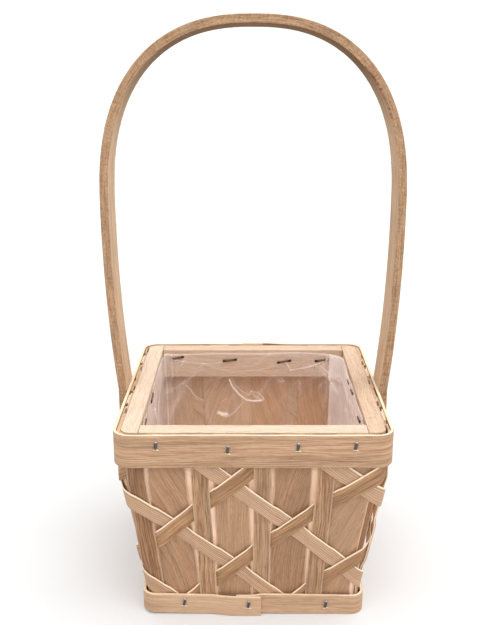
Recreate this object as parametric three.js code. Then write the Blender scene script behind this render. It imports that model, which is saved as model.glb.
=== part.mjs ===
// Square box basket of woven wood splints, with a solid mouth frame, two bent bands, a fixed hoop
// handle and a film liner. Millimetres, +Z up, origin on the ground under the middle of the base.
import * as THREE from "three";

// Overall sizes
const MOUTH = 170; // inside of the mouth frame, square
const RIM_Z = 163.6; // top of the frame and of the top band
const BASE_SIDE = 165.4; // base board, square
const BASE_THICKNESS = 9.5;
const FRAME_WIDTH = 13.4; // frame strip, across
const FRAME_HEIGHT = 27;
const TOP_CORNER = 7.5; // radius of the frame's outer corners
const BASE_CORNER = 4.5; // radius of the base board's corners
const CLEARANCE = 0.3; // between pieces that touch

// Bands
const BAND_THICKNESS = 2.2;
const TOP_BAND_HEIGHT = 26;
const FOOT_BAND_HEIGHT = 16.8;
const LAP = 20; // length over which a band's ends overlap
const LAP_RAMP = 24; // length in which the outer end climbs over the inner one
const FOOT_LAP_END = 6.3; // where the foot band's outer end stops, right of the middle of the front
const TOP_LAP_END = 10; // where the top band's outer end stops, past the middle of the back

// Splints
const SPLINT = 0.75; // thickness
const WALL_BEND = 20; // height in which the wall turns from a band's upright to its slant
const SPLINT_INSET = 1; // splint ends stop this far inside the rim and the foot
const UPRIGHTS = 4; // narrow upright splints on a side
const UPRIGHT_WIDTH = 13.4;
const WIDE_WIDTH = 27;
const START_TOP = 11.1; // middle of a side's first upright, from the corner before it, at the rim
const START_FOOT = 5.5; // and at the foot
const END_TOP = 44.2; // middle of its last upright, from the corner after it, at the rim
const END_FOOT = 34.7;
const CORNER_MARGIN = 3.5; // a wide splint stays this far from the start of the corner
const SLANT_HEIGHT = 16.4; // a slanting splint's width, measured upright
const SLANT_RISE = 38.5; // its rise from one upright to the next
const CROSSING_Z = 6; // lowest crossing of two slanting splints, after an even upright
const EASE = 0.4; // a splint is at its level this far beyond the edge of what it crosses
const SLANT_TIP = 2; // height of a slanting splint's cut end

// Handle
const HANDLE_THICKNESS = 7;
const HANDLE_WIDTH = 33;
const HANDLE_TOP = 458.4;
const HANDLE_HALF = 120.2; // half its greatest width, outside
const HANDLE_WIDEST_Z = 317;
const HANDLE_ROUNDNESS = 2.41; // exponent of the arch, 2 is an ellipse
const LEG_BOW = 2.1; // exponent of the legs' lean
const LEG_BELOW_BAND = 10; // legs end this far below the top band
const HANDLE_LEAN = 2.4; // degrees back

// Liner
const FILM = 0.6;
const LINER_DROP = 5; // its edge is this far below the rim
const LINER_INSET = 1.2; // its foot lies this far in from the base board's edge
const LINER_CORNER = 5;

// Fineness of round stretches
const CORNER_STEPS = 6;
const PLAN_STEPS = 4; // round the corners of the frame, the base board and the liner
const BEND_STEPS = 3;
const ARCH_STEPS = 12; // on each half of the handle's arch
const LEG_STEP = 16;
const LEAST_STEP = 0.5; // rings of a strip are never closer than this

const SIDES = 4;
const QUARTER = Math.PI / 2;
const UP = new THREE.Vector3(0, 0, 1);
const LAYER = SPLINT + CLEARANCE;
const STACK = 3 * LAYER + CLEARANCE; // wide splints and two levels of weave
const WIDE_LEVEL = CLEARANCE;
const LOW_LEVEL = WIDE_LEVEL + LAYER;
const FRAME_HALF = MOUTH / 2 + FRAME_WIDTH;
const BASE_HALF = BASE_SIDE / 2;
const FRAME_Z = RIM_Z - FRAME_HEIGHT;
const TOP_BAND_Z = RIM_Z - TOP_BAND_HEIGHT;

// A closed solid from rings of points, all of one length, and the two faces that end it.
function solid(rings, endFaces) {
  const size = rings[0].length;
  const last = (rings.length - 1) * size;
  const index = [];
  for (let r = 0; r < last; r += size)
    for (let i = 0; i < size; i++) {
      const a = r + i;
      const b = r + ((i + 1) % size);
      index.push(a, b, b + size, a, b + size, a + size);
    }
  for (const [a, b, c] of endFaces(size)) index.push(a, b, c, last + a, last + c, last + b);
  const geometry = new THREE.BufferGeometry();
  geometry.setFromPoints(rings.flat());
  geometry.setIndex(index);
  geometry.computeVertexNormals();
  return geometry;
}

// A strip's ring is its inner row and then its outer row, backwards, so a row of quads ends it.
function stripEnd(size) {
  return Array.from({ length: size / 2 - 1 }, (_, i) => [
    [i, size - 1 - i, size - 2 - i],
    [i, size - 2 - i, i + 1],
  ]).flat();
}

// A fan ends a ring with no hollow in its outline.
function fanEnd(size) {
  return Array.from({ length: size - 2 }, (_, i) => [0, i + 2, i + 1]);
}

// Blend of a and b, where t runs from 0 to 1.
const mix = (a, b, t) => a + (b - a) * t;

// Values from first to last, in equal steps no longer than step.
function spread(first, last, step) {
  const count = Math.max(1, Math.ceil((last - first) / step - 1e-9));
  return Array.from({ length: count + 1 }, (_, i) => mix(first, last, i / count));
}

// Half the wall's inner width at height z: upright in both bands and slanted between them.
const SLANT_FROM = FOOT_BAND_HEIGHT + WALL_BEND / 2;
const SLANT_TO = FRAME_Z - WALL_BEND / 2;
function wallHalf(z) {
  const slope = (FRAME_HALF - BASE_HALF) / (SLANT_TO - SLANT_FROM);
  const bend = (kink) => {
    const t = THREE.MathUtils.clamp((z - kink) / WALL_BEND + 0.5, 0, 1);
    return (t * t * WALL_BEND) / 2 + Math.max(0, z - kink - WALL_BEND / 2);
  };
  return BASE_HALF + slope * (bend(SLANT_FROM) - bend(SLANT_TO));
}

// How far up the slant z is, from 0 at the foot to 1 at the rim.
const slantShare = (z) => (wallHalf(z) - BASE_HALF) / (FRAME_HALF - BASE_HALF);
const cornerRadius = (z) => mix(BASE_CORNER, TOP_CORNER, slantShare(z));
const weaveRadius = (z) => cornerRadius(z) + STACK / 2;
const flatHalf = (z) => wallHalf(z) - cornerRadius(z);
const sideHalf = (z) => flatHalf(z) + (weaveRadius(z) * QUARTER) / 2;

// Middle of an upright, from the middle of its side. A number with a fraction is between two of them.
function uprightMiddle(number, z) {
  const first = mix(START_FOOT, START_TOP, slantShare(z)) - sideHalf(z);
  const last = sideHalf(z) - mix(END_FOOT, END_TOP, slantShare(z));
  return mix(first, last, number / (UPRIGHTS - 1));
}

// A point of the wall: distance along a side from its middle, height, and offset outwards.
function wallPoint(side, along, z, out) {
  const corners = Math.round(along / (2 * sideHalf(z)));
  const rest = along - corners * 2 * sideHalf(z);
  const flat = flatHalf(z);
  const turn = Math.max(0, Math.abs(rest) - flat) / weaveRadius(z);
  const radius = cornerRadius(z) + out;
  const x = Math.sign(rest) * (Math.min(flat, Math.abs(rest)) + radius * Math.sin(turn));
  const y = -(flat + radius * Math.cos(turn));
  return new THREE.Vector3(x, y, z).applyAxisAngle(UP, (side + corners) * QUARTER);
}

// Distance along a side of the upright numbered slot, which may be a fraction between two of them.
function slotAlong(slot, z) {
  const side = Math.floor(slot / UPRIGHTS);
  const place = slot - side * UPRIGHTS;
  const last = UPRIGHTS - 1;
  if (place <= last) return [side, uprightMiddle(place, z)];
  const next = uprightMiddle(0, z) + 2 * sideHalf(z);
  return [side, mix(uprightMiddle(last, z), next, place - last)];
}

// Level of a splint near a crossing: 0 low and 1 high, with an even climb between near and far.
function climb(distance, near, far, atNear) {
  const t = THREE.MathUtils.clamp((distance - near) / (far - near), 0, 1);
  return mix(atNear, 1 - atNear, t);
}

const levelOut = (level) => LOW_LEVEL + level * LAYER;
const LEAST_PITCH = uprightMiddle(1, 0) - uprightMiddle(0, 0); // between uprights at the foot
const UPRIGHT_REACH = (UPRIGHT_WIDTH / 2 + EASE) / LEAST_PITCH; // half an upright, in pitches
const CROSSING_REACH = SLANT_HEIGHT / (2 * SLANT_RISE); // half a crossing of two slants
const CROSSED_HEIGHT = SLANT_HEIGHT / 2 + SLANT_RISE * UPRIGHT_REACH; // half a slant, seen up an upright

// Heights at which an upright strip has a ring: its ends, and close steps where the wall bends.
const BOTTOM_END = SPLINT_INSET;
const TOP_END = RIM_Z - SPLINT_INSET;
function bendHeights() {
  const step = WALL_BEND / BEND_STEPS;
  return [
    BOTTOM_END,
    ...spread(FOOT_BAND_HEIGHT, FOOT_BAND_HEIGHT + WALL_BEND, step),
    ...spread(FRAME_Z - WALL_BEND, FRAME_Z, step),
    TOP_END,
  ];
}

// An upright strip: left and right edges at each height, with points across at the given shares.
function uprightStrip(side, heights, middle, width, out, shares) {
  const rings = heights.map((z) => {
    const left = middle(z) - width / 2;
    const row = (n) => shares.map((t) => wallPoint(side, left + t * width, z, n));
    return [...row(out(z)), ...row(out(z) + SPLINT).reverse()];
  });
  return solid(rings.map((ring) => ring.reverse()), stripEnd);
}

function wideSplint(side, number) {
  const middle = (z) => {
    const furthest = flatHalf(z) - WIDE_WIDTH / 2 - CORNER_MARGIN;
    return Math.min(uprightMiddle(number + 0.5, z), furthest);
  };
  return uprightStrip(side, bendHeights(), middle, WIDE_WIDTH, () => WIDE_LEVEL, [0, 1]);
}

// Heights where slanting splints cross an upright: it goes under the falling ones and over the rising.
function crossingsOf(number) {
  const list = [];
  const first = CROSSING_Z + SLANT_RISE / 2;
  for (let n = -1; first + n * SLANT_RISE < RIM_Z + SLANT_RISE; n++) {
    const rising = (n + number) % 2 !== 0;
    list.push({ z: first + n * SLANT_RISE, level: rising ? 1 : 0 });
  }
  return list;
}

function uprightSplint(side, number) {
  const crossings = crossingsOf(number);
  const out = (z) => {
    const near = crossings.reduce((a, b) => (Math.abs(b.z - z) < Math.abs(a.z - z) ? b : a));
    const distance = Math.abs(near.z - z);
    return levelOut(climb(distance, CROSSED_HEIGHT, SLANT_RISE - CROSSED_HEIGHT, near.level));
  };
  const turns = crossings.flatMap(({ z }) => [z - CROSSED_HEIGHT, z + CROSSED_HEIGHT]);
  const heights = [...bendHeights(), ...turns.filter((z) => z > BOTTOM_END && z < TOP_END)];
  const middle = (z) => uprightMiddle(number, z);
  // The first upright of a side lies partly round the corner, so it has more points there.
  const shares = number === 0 ? [0, 1 / 6, 1 / 3, 1 / 2, 1] : [0, 1];
  return uprightStrip(side, sorted(heights, 2 * LEAST_STEP), middle, UPRIGHT_WIDTH, out, shares);
}

// Sorted values with those closer than gap to the one before left out.
function sorted(values, gap) {
  const all = [...values].sort((a, b) => a - b);
  return all.filter((v, i) => i === 0 || v - all[i - 1] > gap);
}

// A slanting splint, rising (1) or falling (-1), that passes its crossing at half height after slot.
function slantingSplint(slot, rising) {
  const middleZ = CROSSING_Z + 2 * SLANT_RISE;
  const centreZ = (g) => middleZ + rising * SLANT_RISE * (g - slot - 0.5);
  const endReach = (limit) => (limit - middleZ) / SLANT_RISE;
  const low = endReach(BOTTOM_END - SLANT_HEIGHT / 2 + SLANT_TIP);
  const high = endReach(TOP_END + SLANT_HEIGHT / 2 - SLANT_TIP);
  const from = slot + 0.5 + (rising > 0 ? low : -high);
  const to = slot + 0.5 + (rising > 0 ? high : -low);

  // A rising splint is low at the uprights and high at the slants it crosses. A falling one is the
  // other way round.
  const out = (g) => {
    const distance = Math.abs(g - Math.round(g));
    const atUpright = rising > 0 ? 0 : 1;
    return levelOut(climb(distance, UPRIGHT_REACH, 0.5 - CROSSING_REACH, atUpright));
  };
  const places = [from, to];
  for (let n = Math.floor(from); n <= Math.ceil(to); n++) {
    const reaches = [UPRIGHT_REACH, 0.5 - CROSSING_REACH];
    places.push(n, n + 0.5, ...reaches.flatMap((r) => [n - r, n + r]));
    if (n % UPRIGHTS === 0) places.push(...cornerPlaces(n, centreZ(n - 1 / UPRIGHTS)));
  }
  const inside = places.filter((g) => g >= from && g <= to);
  const rings = sorted(inside, LEAST_STEP / LEAST_PITCH).map((g) => {
    const top = Math.min(TOP_END, centreZ(g) + SLANT_HEIGHT / 2);
    const bottom = Math.max(BOTTOM_END, centreZ(g) - SLANT_HEIGHT / 2);
    const row = (n) =>
      [0, 0.5, 1].map((t) => {
        const z = mix(bottom, top, t);
        const [side, along] = slotAlong(g, z);
        return wallPoint(side, along, z, n);
      });
    return [...row(out(g)), ...row(out(g) + SPLINT).reverse()];
  });
  return solid(rings, stripEnd);
}

// Places round the corner before the upright numbered slot, in steps small enough for its curve.
function cornerPlaces(slot, z) {
  const clamped = THREE.MathUtils.clamp(z, BOTTOM_END, TOP_END);
  const last = slotAlong(UPRIGHTS - 1, clamped)[1];
  const first = slotAlong(0, clamped)[1] + 2 * sideHalf(clamped);
  const begin = flatHalf(clamped);
  const end = 2 * sideHalf(clamped) - begin;
  const step = (end - begin) / CORNER_STEPS;
  return spread(begin - step, end + step, step).map((d) => slot - 1 + (d - last) / (first - last));
}

// A band: one strip bent round the wall, whose outer end laps over its inner one.
function band(side, lapEnd, low, high, level) {
  const inner = lapEnd - LAP;
  const half = sideHalf(level);
  const flat = flatHalf(level);
  const around = 2 * SIDES * half;
  const stops = [inner, around + inner - LAP_RAMP, around + inner - CLEARANCE, around + lapEnd];
  for (let corner = 0; corner < SIDES; corner++) {
    const middle = 2 * half * corner;
    stops.push(...spread(middle + flat, middle + 2 * half - flat, (2 * (half - flat)) / CORNER_STEPS));
  }
  const out = (d) => {
    const t = THREE.MathUtils.clamp((d - around - inner + CLEARANCE) / LAP_RAMP + 1, 0, 1);
    return STACK + t * (BAND_THICKNESS + CLEARANCE);
  };
  const rings = sorted(stops, 0).map((d) => {
    const row = (n) => [low, high].map((z) => wallPoint(side, d, level, n).setZ(z));
    return [...row(out(d)), ...row(out(d) + BAND_THICKNESS).reverse()];
  });
  return solid(rings, stripEnd);
}

// Flat plate from an outline in plan, between two heights.
function plate(outline, low, high) {
  const settings = { depth: high - low, bevelEnabled: false, curveSegments: PLAN_STEPS };
  return new THREE.ExtrudeGeometry(outline, settings).translate(0, 0, low);
}

function squareOutline(half, radius) {
  const shape = new THREE.Shape();
  const edge = half - radius;
  shape.absarc(edge, edge, radius, 0, QUARTER);
  shape.absarc(-edge, edge, radius, QUARTER, 2 * QUARTER);
  shape.absarc(-edge, -edge, radius, 2 * QUARTER, 3 * QUARTER);
  shape.absarc(edge, -edge, radius, 3 * QUARTER, 4 * QUARTER);
  shape.closePath();
  return shape;
}

// The side strips run the full depth of the frame, with a rounded outer corner at both ends.
function sideFrameOutline() {
  const shape = new THREE.Shape();
  const edge = FRAME_HALF - TOP_CORNER;
  shape.moveTo(MOUTH / 2, -FRAME_HALF);
  shape.lineTo(edge, -FRAME_HALF);
  shape.absarc(edge, -edge, TOP_CORNER, -QUARTER, 0);
  shape.absarc(edge, edge, TOP_CORNER, 0, QUARTER);
  shape.lineTo(MOUTH / 2, FRAME_HALF);
  shape.closePath();
  return shape;
}

// The front and back strips sit between the side strips.
function crossFrameOutline() {
  const half = MOUTH / 2 - CLEARANCE;
  const shape = new THREE.Shape();
  shape.moveTo(-half, MOUTH / 2);
  shape.lineTo(half, MOUTH / 2);
  shape.lineTo(half, FRAME_HALF);
  shape.lineTo(-half, FRAME_HALF);
  shape.closePath();
  return shape;
}

// Outer line of the handle's right half, from the foot of the leg to the middle of the arch.
const BAND_OUTER = FRAME_HALF + STACK + BAND_THICKNESS;
const LEG_OUTER = BAND_OUTER + CLEARANCE + HANDLE_THICKNESS;
function handleLine() {
  const leg = [new THREE.Vector2(LEG_OUTER, TOP_BAND_Z - LEG_BELOW_BAND)];
  const lean = HANDLE_WIDEST_Z - RIM_Z;
  for (const z of spread(RIM_Z, HANDLE_WIDEST_Z, LEG_STEP)) {
    const share = ((HANDLE_WIDEST_Z - z) / lean) ** LEG_BOW;
    leg.push(new THREE.Vector2(mix(HANDLE_HALF, LEG_OUTER, share), z));
  }
  const power = 2 / HANDLE_ROUNDNESS;
  const arch = spread(0, QUARTER, QUARTER / ARCH_STEPS)
    .slice(1)
    .map((turn) => {
      const x = HANDLE_HALF * Math.abs(Math.cos(turn)) ** power;
      const z = HANDLE_WIDEST_Z + (HANDLE_TOP - HANDLE_WIDEST_Z) * Math.sin(turn) ** power;
      return new THREE.Vector2(x, z);
    });
  return [...leg, ...arch];
}

// The handle: a flat strip bent over from one side of the rim to the other, leaning back a little.
function handle() {
  const right = handleLine();
  const left = right.slice(0, -1).map((p) => new THREE.Vector2(-p.x, p.y));
  const line = [...left, ...right.reverse()];
  const rings = line.map((p, i) => {
    const before = line[Math.max(0, i - 1)];
    const after = line[Math.min(line.length - 1, i + 1)];
    const end = i === 0 || i === line.length - 1;
    const way = after.clone().sub(before).normalize();
    const inwards = end ? new THREE.Vector2(-Math.sign(p.x), 0) : new THREE.Vector2(way.y, -way.x);
    const under = p.clone().addScaledVector(inwards, HANDLE_THICKNESS);
    const row = (q) => [-1, 1].map((s) => new THREE.Vector3(q.x, (s * HANDLE_WIDTH) / 2, q.y));
    return [...row(under), ...row(p).reverse()];
  });
  return solid(rings, stripEnd)
    .translate(0, 0, -RIM_Z)
    .rotateX(-THREE.MathUtils.degToRad(HANDLE_LEAN))
    .translate(0, 0, RIM_Z);
}

// The liner: an open bag of film that hangs inside the frame and stands on the base board.
function liner() {
  const topHalf = MOUTH / 2 - CLEARANCE;
  const footHalf = BASE_HALF - LINER_INSET;
  const low = BASE_THICKNESS + CLEARANCE;
  const ring = (half, radius, z) =>
    squareOutline(half, radius).getPoints(PLAN_STEPS).slice(0, -1)
      .map((p) => new THREE.Vector3(p.x, p.y, z));
  const high = RIM_Z - LINER_DROP;
  const rings = [
    ring(footHalf, LINER_CORNER, low),
    ring(topHalf, LINER_CORNER, high),
    ring(topHalf - FILM, LINER_CORNER - FILM, high),
    ring(footHalf - FILM, LINER_CORNER - FILM, low + FILM),
  ];
  return solid(rings, fanEnd);
}

// Materials: pale poplar for the strips, a pinker peeled veneer behind them, and clear film.
const wood = (color, roughness) => new THREE.MeshStandardMaterial({ color, roughness, metalness: 0 });
const film = new THREE.MeshStandardMaterial({
  color: 0xe9dcd8,
  roughness: 0.2,
  metalness: 0,
  transparent: true,
  opacity: 0.35,
});

const basket = new THREE.Group();
function add(name, geometry, material) {
  const mesh = new THREE.Mesh(geometry, material);
  mesh.name = name;
  basket.add(mesh);
  return mesh;
}

const SIDE_NAMES = ["front", "right", "back", "left"];
add("base_board", plate(squareOutline(BASE_HALF, BASE_CORNER), 0, BASE_THICKNESS), wood(0xcaa57d, 0.75));
for (const [name, turn] of [["right", 0], ["left", 2]]) {
  const strip = plate(sideFrameOutline(), FRAME_Z, RIM_Z);
  add("frame_" + name, strip, wood(0xf0cfae, 0.7)).rotation.z = turn * QUARTER;
}
for (const [name, turn] of [["back", 0], ["front", 2]]) {
  const strip = plate(crossFrameOutline(), FRAME_Z, RIM_Z);
  add("frame_" + name, strip, wood(0xf0cfae, 0.7)).rotation.z = turn * QUARTER;
}
for (let side = 0; side < SIDES; side++)
  for (let number = 0; number < UPRIGHTS; number++) {
    const place = SIDE_NAMES[side] + "_" + (number + 1);
    add("wide_splint_" + place, wideSplint(side, number), wood(0xbf9878, 0.8));
    add("upright_splint_" + place, uprightSplint(side, number), wood(0xc4a07d, 0.75));
  }
for (let n = 0; n < (SIDES * UPRIGHTS) / 2; n++) {
  add("rising_splint_" + (n + 1), slantingSplint(2 * n, 1), wood(0xc8a580, 0.75));
  add("falling_splint_" + (n + 1), slantingSplint(2 * n, -1), wood(0xc8a580, 0.75));
}
add("foot_band", band(0, FOOT_LAP_END, 0, FOOT_BAND_HEIGHT, 0), wood(0xd0ab84, 0.7));
add("top_band", band(2, TOP_LAP_END, TOP_BAND_Z, RIM_Z, RIM_Z), wood(0xd0ab84, 0.7));
add("handle", handle(), wood(0xb8946c, 0.8));
add("liner", liner(), film);

export default basket;
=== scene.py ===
"""Dresses the box basket: weave, bands, mouth frame, hoop handle, staples, film and studio."""

import functools
import math
import random

import bmesh
import bpy
import numpy as np
from mathutils import Matrix, Vector, noise


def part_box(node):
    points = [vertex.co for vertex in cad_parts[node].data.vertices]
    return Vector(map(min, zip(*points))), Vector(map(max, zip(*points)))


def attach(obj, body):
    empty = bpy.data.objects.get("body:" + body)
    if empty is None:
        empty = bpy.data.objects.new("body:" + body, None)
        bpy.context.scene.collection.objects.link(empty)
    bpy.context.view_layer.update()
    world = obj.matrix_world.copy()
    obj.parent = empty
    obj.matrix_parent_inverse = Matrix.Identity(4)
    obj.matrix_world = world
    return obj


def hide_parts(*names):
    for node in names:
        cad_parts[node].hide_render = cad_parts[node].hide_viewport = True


bl_info = {
    "name": "Box basket",
    "version": (1, 0, 0),
    "blender": (4, 5, 0),
    "location": "View3D > Sidebar > Basket",
    "description": "Builds the veneer, frame, handle, staples and film of a square splint basket",
    "category": "Object",
}

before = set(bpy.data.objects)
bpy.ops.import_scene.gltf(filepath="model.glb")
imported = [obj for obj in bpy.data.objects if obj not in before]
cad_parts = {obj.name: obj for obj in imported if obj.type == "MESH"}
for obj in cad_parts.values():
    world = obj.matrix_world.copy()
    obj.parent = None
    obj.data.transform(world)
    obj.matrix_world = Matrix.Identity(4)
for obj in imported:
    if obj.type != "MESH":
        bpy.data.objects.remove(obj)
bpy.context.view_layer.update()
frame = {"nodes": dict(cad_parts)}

MM = 0.001
SIDES = ("front", "right", "back", "left")
QUARTER = math.pi / 2

BOARD_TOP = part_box("base_board")[1]
FRAME_LOW, FRAME_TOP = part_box("frame_right")
FOOT_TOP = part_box("foot_band")[1]
TOP_BAND_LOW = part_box("top_band")[0]


def srgb(red, green, blue):
    """A colour named in screen values from 0 to 255, as Blender's linear values."""
    return tuple(((c / 255 + 0.055) / 1.055) ** 2.4 for c in (red, green, blue))


def number(name, description, default, **more):
    return bpy.props.FloatProperty(name=name, description=description, default=default, **more)


def length(name, description, default):
    return number(name, description, default, unit="LENGTH", precision=5)


def vector(name, description, default, **more):
    return bpy.props.FloatVectorProperty(
        name=name, description=description, default=default, size=3, **more
    )


def colour(name, description, default):
    return vector(name, description, srgb(*default), min=0, max=1, subtype="COLOR")


class WallSizes(bpy.types.PropertyGroup):
    """The slanted wall that every strip is bent round."""

    base: length("Base half", "Half the width of the base board", BOARD_TOP.x)
    board: length("Board thickness", "Thickness of the base board", BOARD_TOP.z)
    mouth: length("Mouth half", "Half the width inside the frame", FRAME_LOW.x)
    frame: length("Frame half", "Half the width outside the frame", FRAME_TOP.x)
    rim: length("Rim height", "Top of the frame", FRAME_TOP.z)
    frame_z: length("Frame underside", "Height of the frame's lower face", FRAME_LOW.z)
    foot: length("Foot band height", "Top of the foot band", FOOT_TOP.z)
    bend: length("Wall bend", "Height in which the wall turns from upright to slanted", 0.020)
    base_corner: length("Base corner", "Radius of the base board's corners", 0.0045)
    top_corner: length("Top corner", "Radius of the frame's outer corners", 0.0075)
    clearance: length("Clearance", "Gap between layers that touch", 0.0003)


class WeaveSizes(bpy.types.PropertyGroup):
    """The upright, wide and slanting splints."""

    layer: length("Layer", "Depth of each layer of the weave, clearance included", 0.00105)
    splint: length("Splint thickness", "Thickness of the veneer", 0.0009)
    upright: length("Upright width", "Width of the narrow upright splints", 0.0134)
    wide: length("Wide width", "Common width of the front's backing splints", 0.027)
    inset: length("End inset", "Splints end this far inside the rim and the foot", 0.001)
    start_top: length("Start at the rim", "First upright's middle from the corner", 0.0111)
    start_foot: length("Start at the foot", "First upright's middle from the corner", 0.0055)
    end_top: length("End at the rim", "Last upright's middle from the corner", 0.0442)
    end_foot: length("End at the foot", "Last upright's middle from the corner", 0.0347)
    corner_margin: length("Corner margin", "Wide splints stay this far from a corner", 0.0035)
    slant: length("Slant height", "Upright measure of a slanting splint's width", 0.0164)
    rise: length("Slant rise", "Rise from one upright to the next", 0.0385)
    crossing: length("Lowest crossing", "Height of the lowest crossing of two slants", 0.006)
    ease: length("Ease", "A splint is at its level this far past what it crosses", 0.0004)
    tip: length("Tip", "Height of a slanting splint's cut end", 0.002)
    arris: length("Eased edge", "Rounding of the veneer's edges", 0.00018)
    wander: length("Wander", "How far hand-cut edges stray", 0.00035)
    cup: length("Cup", "How far upright and wide splints cup", 0.00012)
    slant_cup: length("Slant cup", "How far slanting splints cup", 0.0001)
    spare: length("Spare", "Uprights swell out this far from a slanting splint", 0.0006)
    corner_width: length(
        "Corner width", "Extra width of the last wide splint of each side but the front", 0.0045
    )
    corner_shift: length("Corner shift", "Shift of that splint towards its corner", 0.0022)
    front_shift: length("Front shift", "Shift of the front's last wide splint", 0.0026)
    relief: number("Relief", "Extra depth of the weave between the bands", 0.45, min=0)


class BandSizes(bpy.types.PropertyGroup):
    """The bent bands round the rim and the foot."""

    thickness: length("Thickness", "Thickness of the bands", 0.0022)
    lap: length("Lap", "Length over which a band's ends overlap", 0.020)
    ramp: length("Ramp", "Length in which the outer end climbs over the inner one", 0.024)
    foot_end: length("Foot lap end", "Where the foot band's end stops on the front", 0.0063)
    top_end: length("Top lap end", "Where the top band's end stops on the back", 0.010)
    arris: length("Eased edge", "Rounding of the bands' edges", 0.00045)
    swell: length("Swell", "How far a band's outer face swells", 0.0002)
    wander: length("Wander", "How far a band's upper edge strays", 0.0003)


class HandleSizes(bpy.types.PropertyGroup):
    """The hoop handle."""

    thickness: length("Thickness", "Thickness of the hoop", 0.007)
    width: length("Width", "Width of the hoop", 0.033)
    top: length("Top", "Height of the hoop before it leans", 0.4584)
    half: length("Half width", "Half the hoop's greatest width", 0.1202)
    widest: length("Widest height", "Height at which the hoop is widest", 0.317)
    below: length("Leg end", "How far the legs end below the top band", 0.010)
    arris: length("Eased edge", "Rounding of the hoop's edges", 0.0009)
    # Painted shade: from this height up, the inner face is painted darker, as shade under the arch.
    worn_from: length("Worn from", "Height from which hands have browned the inner face", 0.355)
    torn_from: length("Torn from", "The torn part starts this far to the right", 0.06)
    torn_low: length("Torn low", "Height at which the torn part starts", 0.365)
    torn_high: length("Torn high", "Height at which the torn part ends", 0.43)
    tear: length("Tear", "Size of a full tear in the sawn edges", 0.004)
    roundness: number("Roundness", "Exponent of the arch, where 2 is an ellipse", 2.41)
    bow: number("Leg bow", "Exponent of the legs' curve", 2.1)
    lean: number("Lean", "How far the hoop leans back", math.radians(2.4), subtype="ANGLE")


class LinerSizes(bpy.types.PropertyGroup):
    """The film liner."""

    drop: length("Drop", "The film's edge is this far below the rim", 0.003)
    inset: length("Inset", "The film's foot lies this far in from the board's edge", 0.0012)
    corner: length("Corner", "Radius of the film's corners", 0.006)
    crease: length("Crease", "Height of the sharpest creases", 0.0011)
    pleat: length("Pleat", "Depth of the deepest pleats in the corners", 0.0018)
    streak: length("Streak", "Height of the brightest streaks", 0.0009)
    slack: length("Slack", "How far the walls of the film hang out of flat", 0.0012)
    ragged: length("Ragged edge", "How far the film's edge goes up and down", 0.0022)
    ruck: length("Ruck", "Height of the rucks in the film's floor", 0.0006)
    creases: bpy.props.IntProperty(
        name="Creases", description="Creases on each wall of the film", default=26, min=0
    )
    seed: bpy.props.IntProperty(name="Seed", description="Choice of creases", default=7)


class StapleSizes(bpy.types.PropertyGroup):
    """The steel staples."""

    wire: length("Wire width", "Width of the flattened wire", 0.0021)
    thickness: length("Wire thickness", "Thickness of the flattened wire", 0.0011)
    crown: length("Short crown", "Crown of the staples through the bands", 0.0058)
    long_crown: length("Long crown", "Crown of the staples that hold the film", 0.0128)
    leg: length("Leg", "Length of a leg that shows above the wood", 0.0012)
    proud: length("Proud", "How far the film's staples stand off the frame", 0.0006)
    seed: bpy.props.IntProperty(name="Seed", description="Choice of shifts and tilts", default=3)


class Finishes(bpy.types.PropertyGroup):
    """Colours of the woods, the film and the steel."""

    band: colour("Band", "Face of the bent bands", (198, 162, 129))
    frame: colour("Frame", "Planed frame strips", (226, 204, 181))
    upright: colour("Upright splint", "Narrow upright splints", (184, 147, 113))
    rising: colour("Rising splint", "Rising splints", (180, 140, 101))
    falling: colour("Falling splint", "Falling splints", (202, 167, 136))
    # Painted light: the veneer's inner faces are paler than its outer ones, to light up the inside.
    inner: colour("Inner face", "Faces of the veneer inside the basket", (205, 173, 140))
    wide: colour("Wide splint", "Peeled backing splints", (186, 147, 114))
    handle: colour("Handle edge", "Sawn edges of the handle", (185, 150, 117))
    handle_face: colour("Handle face", "Smooth faces of the handle", (216, 186, 155))
    cut: colour("Cut edge", "Fresh cut edges of the veneer", (252, 229, 201))
    board: colour("Base board", "Sawn base board", (186, 155, 121))
    film: colour("Film", "Clear film", (255, 244, 240))
    steel: colour("Steel", "Staples", (84, 85, 88))


class StudioSettings(bpy.types.PropertyGroup):
    """The floor, the lights and the camera."""

    floor: colour("Floor", "Plain pale floor", (210, 210, 210))
    reach: length("Reach", "Distance from the basket at which the floor has swept up", 6.0)
    key: number("Key light", "Strength of the soft light", 2.66)
    softness: number("Softness", "How wide the soft light looks", math.radians(80), subtype="ANGLE")
    source: vector(
        "Light from", "Direction that the soft light comes from", (0.18, -0.22, 0.95),
        subtype="DIRECTION",
    )
    sky: number("Sky", "Strength of the even light", 0.78)
    lift: number("Lift", "Light that the floor gives of itself", 0.10, min=0)
    eye: vector(
        "Camera", "Where the camera stands", (-0.0025, -0.6564, 0.4226), subtype="TRANSLATION",
        unit="LENGTH",
    )
    pitch: number("Pitch", "How far the camera looks down", 0.290913, subtype="ANGLE")
    lens: number("Lens", "Focal length in millimetres", 47.78)


# Distance between uprights, near enough for the length of a slanting splint's grain.
PITCH = 0.043
# Gap that keeps two faces from touching.
HAIR = 0.0001
# Rounding of the edges of the frame strips and the base board.
BOARD_EASE = 0.0005
# Tone of each upright, from -1, brown, to 1, pale, side by side.
UPRIGHT_TONES = (
    (-0.75, 0.0, 0.15, -0.1),
    (0.1, -0.2, 0.0, 0.2),
    (0.0, 0.1, 0.45, -0.1),
    (-0.1, 0.2, -0.3, 0.1),
)
# The same of each wide splint.
WIDE_TONES = (
    (-0.12, 0.16, -0.35, 0.2),
    (0.1, -0.05, 0.1, -0.2),
    (-0.5, -0.42, 0.0, 0.15),
    (0.1, -0.2, 0.1, 0.0),
)
FRAME_TONES = (0.0, -0.5, -0.3, 0.0)
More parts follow.
